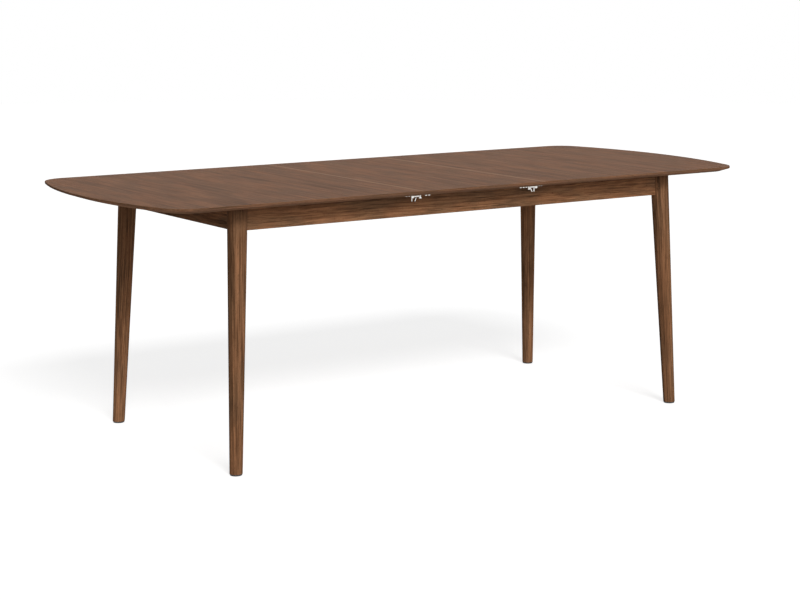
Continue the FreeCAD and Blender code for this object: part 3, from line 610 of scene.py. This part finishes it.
def finish_walnut(graph, shader, tint, rough, height, sheen):
    """Feeds the lacquered wood, with its edge wear, to the shader."""
    walnut = bpy.context.scene.table_walnut
    wear = graph.filled(handled_edge(), {
        "Vector": object_place(graph), "Width": WOOD_EDGE_WIDTH, "Strength": WOOD_EDGE_STRENGTH,
    })
    worn = graph.mix(wear.outputs["Mask"], tint, tuple(walnut.worn_edge))
    graph.put(shader.inputs["Base Color"], worn)
    graph.put(shader.inputs["Roughness"], rough)
    shader.inputs["IOR"].default_value = 1.5
    shader.inputs["Specular IOR Level"].default_value = sheen
    rough_bump(graph, shader, height, walnut.pore_depth, 0.6)


def toned(wood, tone):
    return tuple(level * tone for level in wood)


def solid_walnut(name, origin, turn, figure=()):
    """Solid walnut with its pith line through origin. Boards differ a little in tone."""
    walnut = bpy.context.scene.table_walnut
    material, graph, shader = new_material("walnut " + name.replace("_", " "))
    # Painted light: the board's tone also lightens boards that stand in shade
    tone = BOARD_TONES_AND_PAINTED_FILL[name]
    look = {"Early Wood": toned(walnut.solid_early, tone), "Late Wood": toned(walnut.solid_late, tone)}
    look.update(figure)
    wood = walnut_figure(graph, local_place(graph, origin, turn), look).outputs
    finish_walnut(graph, shader, wood["Color"], wood["Roughness"], wood["Height"], walnut.frame_sheen)
    return material


def veneered_walnut(name, origin):
    """Veneer with its grain across the table, and a solid lipping with its grain along the edge."""
    walnut = bpy.context.scene.table_walnut
    material, graph, shader = new_material(name)
    look = {
        "Early Wood": tuple(walnut.veneer_early),
        "Late Wood": tuple(walnut.veneer_late),
        "Ring Spacing": walnut.veneer_rings,
        "Ring Contrast": 0.6,
        "Vein Contrast": 0.4,
        "Streak Contrast": 0.38,
        "Patch Contrast": 0.12,
        "Fibre Contrast": 0.8,
        "Fleck Contrast": 0.08,
        "Wander": 0.035,
        "Ripple": 0.005,
    }
    field = walnut_figure(graph, local_place(graph, origin, ALONG_Y), look)
    low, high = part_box("top_right")
    parts = graph.add("ShaderNodeSeparateXYZ", {0: object_place(graph)})
    level = parts.outputs["Z"]
    above = graph.math("GREATER_THAN", level, low[2] + EDGE_MARGIN)
    below = graph.math("LESS_THAN", level, high[2] - EDGE_MARGIN)
    on_edge = graph.math("MULTIPLY", above, below)
    lipping = {
        "Early Wood": tuple(walnut.lipping_early),
        "Late Wood": tuple(walnut.lipping_late),
        "Ring Spacing": LIPPING_RINGS,
        "Ring Contrast": 0.45,
        "Streak Contrast": 0.3,
        "Fleck Contrast": 0.04,
        "Roughness": LIPPING_ROUGHNESS,
    }
    long_edge = walnut_figure(graph, local_place(graph, LONG_LIPPING_PITH, ALONG_X), lipping)
    end_edge = walnut_figure(graph, local_place(graph, END_LIPPING_PITH, ALONG_Y), lipping)
    beside = graph.math("ABSOLUTE", parts.outputs["Y"])
    at_side = graph.math("GREATER_THAN", beside, high[1] - LIPPING_WIDTH)
    lip_wood = graph.mix(at_side, end_edge.outputs["Color"], long_edge.outputs["Color"])
    on_bevel = graph.math("LESS_THAN", level, high[2] - LIP_HEIGHT)
    # Painted bounce light: the downward bevel is painted lighter than the lip above it
    painted_bounce_bevel = graph.mix(1.0, lip_wood, (BEVEL_PAINTED_BOUNCE, BEVEL_PAINTED_BOUNCE, BEVEL_PAINTED_BOUNCE), blend="MULTIPLY")
    lip_wood = graph.mix(on_bevel, lip_wood, painted_bounce_bevel)
    lip_rough, lip_height = (
        graph.blend(at_side, end_edge.outputs[key], long_edge.outputs[key]) for key in ("Roughness", "Height")
    )
    # Painted highlight: a pale band a few millimetres wide on the top face along each seam, in place of the
    # glint of its eased edges
    seam_x = (low[0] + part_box("leaf_wing_front")[1][0]) / 2
    aside = graph.math("ABSOLUTE", parts.outputs["X"])
    from_seam = graph.math("ABSOLUTE", graph.math("SUBTRACT", aside, seam_x))
    seam_glint_falloff = graph.ramp(from_seam, SEAM_GLINT_INNER, SEAM_GLINT_OUTER, 1.0, 0.0)
    painted_seam_glint = graph.math("MULTIPLY", seam_glint_falloff, graph.math("SUBTRACT", 1.0, below))
    tint = graph.mix(on_edge, field.outputs["Color"], lip_wood)
    tint = graph.mix(painted_seam_glint, tint, tuple(walnut.seam_glint))
    rough = graph.blend(on_edge, field.outputs["Roughness"], lip_rough)
    height = graph.blend(on_edge, field.outputs["Height"], lip_height)
    finish_walnut(graph, shader, tint, rough, height, walnut.top_sheen)
    return material


def beech(name, origin, turn):
    wood = bpy.context.scene.table_hidden_wood
    material, graph, shader = new_material(name)
    figure = graph.filled(wood_figure(), {
        "Vector": local_place(graph, origin, turn),
        "Early Wood": tuple(wood.early_wood),
        "Late Wood": tuple(wood.late_wood),
        "Vein": tuple(wood.late_wood),
        "Pore": tuple(wood.fleck),
        "Ring Spacing": BEECH_RINGS,
        "Ring Contrast": 0.45,
        "Vein Contrast": 0.25,
        "Streak Contrast": 0.08,
        "Patch Contrast": 0.06,
        "Fibre Contrast": 0.3,
        "Pore Density": 0.8,
        "Pore Length": BEECH_PORE_LENGTH,
        "Roughness": wood.roughness,
    })
    graph.put(shader.inputs["Base Color"], figure.outputs["Color"])
    graph.put(shader.inputs["Roughness"], figure.outputs["Roughness"])
    rough_bump(graph, shader, figure.outputs["Height"], BEECH_BUMP, 0.5)
    return material


def plated(name, metal, dull, dullness, roughness, bump):
    material, graph, shader = new_material(name)
    skin = graph.filled(plating(), {
        "Vector": object_place(graph), "Metal": metal, "Dull": dull, "Dullness": dullness,
        "Roughness": roughness,
    })
    edge = graph.filled(handled_edge(), {
        "Vector": object_place(graph), "Width": METAL_EDGE_WIDTH, "Strength": METAL_EDGE_STRENGTH,
    })
    bright = tuple(min(1.0, level) for level in toned(metal, METAL_EDGE_TONE))
    graph.put(shader.inputs["Base Color"], graph.mix(edge.outputs["Mask"], skin.outputs["Color"], bright))
    graph.put(shader.inputs["Roughness"], skin.outputs["Roughness"])
    shader.inputs["Metallic"].default_value = 1.0
    rough_bump(graph, shader, skin.outputs["Height"], bump, 0.5)
    return material


def nylon(name, plastic, roughness):
    material, graph, shader = new_material(name)
    skin = graph.filled(moulded_skin(), {
        "Vector": object_place(graph), "Plastic": plastic, "Roughness": roughness,
    })
    graph.put(shader.inputs["Base Color"], skin.outputs["Color"])
    graph.put(shader.inputs["Roughness"], skin.outputs["Roughness"])
    rough_bump(graph, shader, skin.outputs["Height"], NYLON_BUMP, 0.4)
    return material


def dress(names, material):
    """Gives CAD nodes a finish, by their objects' own material slots."""
    for name in names:
        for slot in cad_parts[name].material_slots:
            slot.link = "OBJECT"
            slot.material = material


# ---- Operators: the table ----
class FinishTop(bpy.types.Operator):
    """Veneer the two halves and the leaf, with the grain across the table"""

    bl_idname = "butterfly_table.finish_top"
    bl_label = "Top and leaf"

    def execute(self, context):
        dress(["top_left"], veneered_walnut("walnut veneer left", LEFT_PITH))
        dress(["top_right"], veneered_walnut("walnut veneer right", RIGHT_PITH))
        dress(LEAF_WINGS, veneered_walnut("walnut veneer leaf", LEAF_PITH))
        return {"FINISHED"}


class FinishLegs(bpy.types.Operator):
    """Finish the four legs in solid walnut, with the grain along each splayed leg"""

    bl_idname = "butterfly_table.finish_legs"
    bl_label = "Legs"

    def execute(self, context):
        for face_name, face in FACES.items():
            for side_name, side in SIDES.items():
                name = "leg_" + face_name + "_" + side_name
                low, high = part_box(name)
                middle = (Vector(low) + Vector(high)) / 2
                lean = Vector((-side * LEG_LEAN_ALONG, -face * LEG_LEAN_ACROSS, 1.0))
                turn = lean.to_track_quat("Z", "Y").to_euler()
                pith = middle + Vector((side * LEG_PITH_ALONG, -face * LEG_PITH_ACROSS, 0.0))
                dress([name], solid_walnut(name, tuple(pith), tuple(turn)))
        return {"FINISHED"}


class FinishAprons(bpy.types.Operator):
    """Finish the four aprons in solid walnut, with the grain along each apron"""

    bl_idname = "butterfly_table.finish_aprons"
    bl_label = "Aprons"

    def execute(self, context):
        for name, height in zip(SIDE_APRONS, SIDE_APRON_PITHS):
            pith = (0.0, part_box(name)[0][1] * SIDE_APRON_PITH_SHARE, height)
            dress([name], solid_walnut(name, pith, ALONG_X, APRON_FIGURE))
        for name, height in zip(END_APRONS, END_APRON_PITHS):
            pith = (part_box(name)[0][0] * END_APRON_PITH_SHARE, 0.0, height)
            dress([name], solid_walnut(name, pith, ALONG_Y, APRON_FIGURE))
        return {"FINISHED"}


class FinishInnerFrame(bpy.types.Operator):
    """Finish the rails, runners, bearers and corner blocks in plain beech"""

    bl_idname = "butterfly_table.finish_inner_frame"
    bl_label = "Inner frame"

    def execute(self, context):
        for name in SLIDING_RAILS:
            pith = (0.0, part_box(name)[0][1] + RAIL_PITH_ASIDE, RAIL_PITH_HEIGHT)
            dress([name], beech("beech " + name.replace("_", " "), pith, ALONG_X))
        for name in CROSS_RAILS:
            pith = (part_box(name)[0][0] + CROSS_RAIL_PITH_ASIDE, 0.0, CROSS_RAIL_PITH_HEIGHT)
            dress([name], beech("beech " + name.replace("_", " "), pith, ALONG_Y))
        for name in CORNER_BLOCKS:
            face_name, side_name = name.split("_")[2:]
            side, face = SIDES[side_name], FACES[face_name]
            turn = (math.pi / 2, 0.0, -side * face * math.pi / 4)
            pith = (side * BLOCK_PITH[0], face * BLOCK_PITH[1], BLOCK_PITH[2])
            dress([name], beech("beech " + name.replace("_", " "), pith, turn))
        return {"FINISHED"}


class FinishGlides(bpy.types.Operator):
    """Finish the slide strips and buttons in pale nylon, and the feet and stops in dark nylon"""

    bl_idname = "butterfly_table.finish_glides"
    bl_label = "Glides and stops"

    def execute(self, context):
        fittings = context.scene.table_fittings
        dress(PALE_GLIDES, nylon("pale nylon", tuple(fittings.pale_nylon), PALE_NYLON_ROUGHNESS))
        dress(DARK_GLIDES, nylon("dark nylon", tuple(fittings.dark_nylon), DARK_NYLON_ROUGHNESS))
        return {"FINISHED"}


class FinishLatches(bpy.types.Operator):
    """Finish the latches in bright nickel"""

    bl_idname = "butterfly_table.finish_latches"
    bl_label = "Latches"

    def execute(self, context):
        metal = tuple(context.scene.table_fittings.nickel)
        dull = toned(metal, NICKEL_DULL_TONE)
        dress(LATCHES, plated("bright nickel", metal, dull, NICKEL_DULLNESS, NICKEL_ROUGHNESS, NICKEL_BUMP))
        return {"FINISHED"}


class FinishFasteners(bpy.types.Operator):
    """Finish the bolts, screws, plates and hinges in zinc-plated steel"""

    bl_idname = "butterfly_table.finish_fasteners"
    bl_label = "Bolts, screws and hinges"

    def execute(self, context):
        metal = tuple(context.scene.table_fittings.zinc)
        dull = toned(metal, ZINC_DULL_TONE)
        names = LEG_BOLTS + WOOD_SCREWS + LEAF_FITTINGS
        dress(names, plated("zinc plate", metal, dull, ZINC_DULLNESS, ZINC_ROUGHNESS, ZINC_BUMP))
        return {"FINISHED"}


# ---- Operator: the studio ----
def floor_material(studio):
    """Matt floor that is white in the light, keeps the shadow and can't be seen from below."""
    material = bpy.data.materials.new("studio floor")
    material.use_nodes = True
    graph = Graph(material.node_tree)
    matt = graph.add("ShaderNodeBsdfDiffuse", {"Color": tuple(studio.floor)})
    path = graph.add("ShaderNodeLightPath")
    seen = graph.math("MAXIMUM", path.outputs["Is Camera Ray"], path.outputs["Is Glossy Ray"])
    seen = graph.math("MAXIMUM", seen, path.outputs["Is Transmission Ray"])
    lift = graph.add("ShaderNodeEmission", {"Strength": graph.math("MULTIPLY", seen, studio.floor_lift)})
    lit = graph.add("ShaderNodeAddShader", {0: matt.outputs[0], 1: lift.outputs[0]})
    gone = graph.add("ShaderNodeBsdfTransparent")
    back = graph.add("ShaderNodeNewGeometry").outputs["Backfacing"]
    both = graph.add("ShaderNodeMixShader", {0: back, 1: lit.outputs[0], 2: gone.outputs[0]})
    graph.add("ShaderNodeOutputMaterial", {"Surface": both.outputs[0]})
    return material


def add_sun(name, strength, toward, spread):
    """Soft lamp that shines along toward."""
    lamp = bpy.data.lights.new(name, "SUN")
    lamp.energy = strength
    lamp.angle = spread
    piece = bpy.data.objects.new(name, lamp)
    piece.rotation_euler = Vector(toward).to_track_quat("-Z", "Y").to_euler()
    bpy.context.scene.collection.objects.link(piece)
    return piece


class SetStudio(bpy.types.Operator):
    """Lay the floor, hang the lamps and stand the camera"""

    bl_idname = "butterfly_table.set_studio"
    bl_label = "Studio"

    def execute(self, context):
        studio = context.scene.table_studio
        bpy.ops.mesh.primitive_circle_add(
            vertices=FLOOR_SIDES, radius=studio.floor_radius, fill_type="TRIFAN"
        )
        floor = context.object
        floor.name = "studio_floor"
        floor.data.materials.append(floor_material(studio))

        for name, toward in KEY_LAMPS.items():
            add_sun(name, studio.key_strength / len(KEY_LAMPS), toward, KEY_SPREAD)
        low = add_sun("low lamp", studio.low_strength, LOW_LAMP, LOW_SPREAD)
        spared = bpy.data.collections.new("out of the low lamp's light")
        spared.objects.link(floor)
        spared.collection_objects[0].light_linking.link_state = "EXCLUDE"
        low.light_linking.receiver_collection = spared
        behind = add_sun("back lamp", studio.back_strength, BACK_LAMP, BACK_SPREAD)
        behind.visible_glossy = False

        world = bpy.data.worlds.new("studio sky")
        context.scene.world = world
        world.use_nodes = True
        graph = Graph(world.node_tree)
        path = graph.add("ShaderNodeLightPath")
        seen = graph.math("MAXIMUM", path.outputs["Is Camera Ray"], path.outputs["Is Glossy Ray"])
        seen = graph.math("MAXIMUM", seen, path.outputs["Is Transmission Ray"])
        strength = graph.blend(seen, studio.sky_strength, 1.0)
        sky = graph.add("ShaderNodeBackground", {"Color": (1.0, 1.0, 1.0), "Strength": strength})
        graph.add("ShaderNodeOutputWorld", {"Surface": sky.outputs[0]})

        lens = bpy.data.cameras.new("camera")
        lens.lens = studio.camera_lens
        lens.sensor_width = SENSOR_WIDTH
        camera = bpy.data.objects.new("camera", lens)
        camera.location = studio.camera_place
        camera.rotation_euler = (math.pi / 2 - studio.camera_drop, 0.0, -studio.camera_turn)
        context.scene.collection.objects.link(camera)
        context.scene.camera = camera
        context.scene.view_settings.view_transform = "Standard"
        return {"FINISHED"}


# ---- Panel ----
class TablePanel(bpy.types.Panel):
    """Lists the table's finishes and its studio"""

    bl_idname = "VIEW3D_PT_butterfly_table"
    bl_label = "Butterfly leaf table"
    bl_space_type = "VIEW_3D"
    bl_region_type = "UI"
    bl_category = "Table"

    def draw(self, context):
        layout = self.layout
        for operator in OPERATORS:
            layout.operator(operator.bl_idname)
        for settings in SETTINGS:
            box = layout.box()
            group = getattr(context.scene, settings)
            box.label(text=group.bl_rna.description)
            for name in group.__annotations__:
                box.prop(group, name)


SETTINGS = {
    "table_walnut": WalnutSettings,
    "table_hidden_wood": HiddenWoodSettings,
    "table_fittings": FittingSettings,
    "table_studio": StudioSettings,
}
OPERATORS = [
    FinishTop, FinishLegs, FinishAprons, FinishInnerFrame, FinishGlides, FinishLatches, FinishFasteners,
    SetStudio,
]


def register():
    for name, settings in SETTINGS.items():
        bpy.utils.register_class(settings)
        setattr(bpy.types.Scene, name, PointerProperty(type=settings))
    for item in OPERATORS + [TablePanel]:
        bpy.utils.register_class(item)


def unregister():
    for item in reversed(OPERATORS + [TablePanel]):
        bpy.utils.unregister_class(item)
    for name, settings in SETTINGS.items():
        delattr(bpy.types.Scene, name)
        bpy.utils.unregister_class(settings)


def main():
    register()
    for operator in OPERATORS:
        group, name = operator.bl_idname.split(".")
        getattr(getattr(bpy.ops, group), name)()


if __name__ == "__main__":
    main()
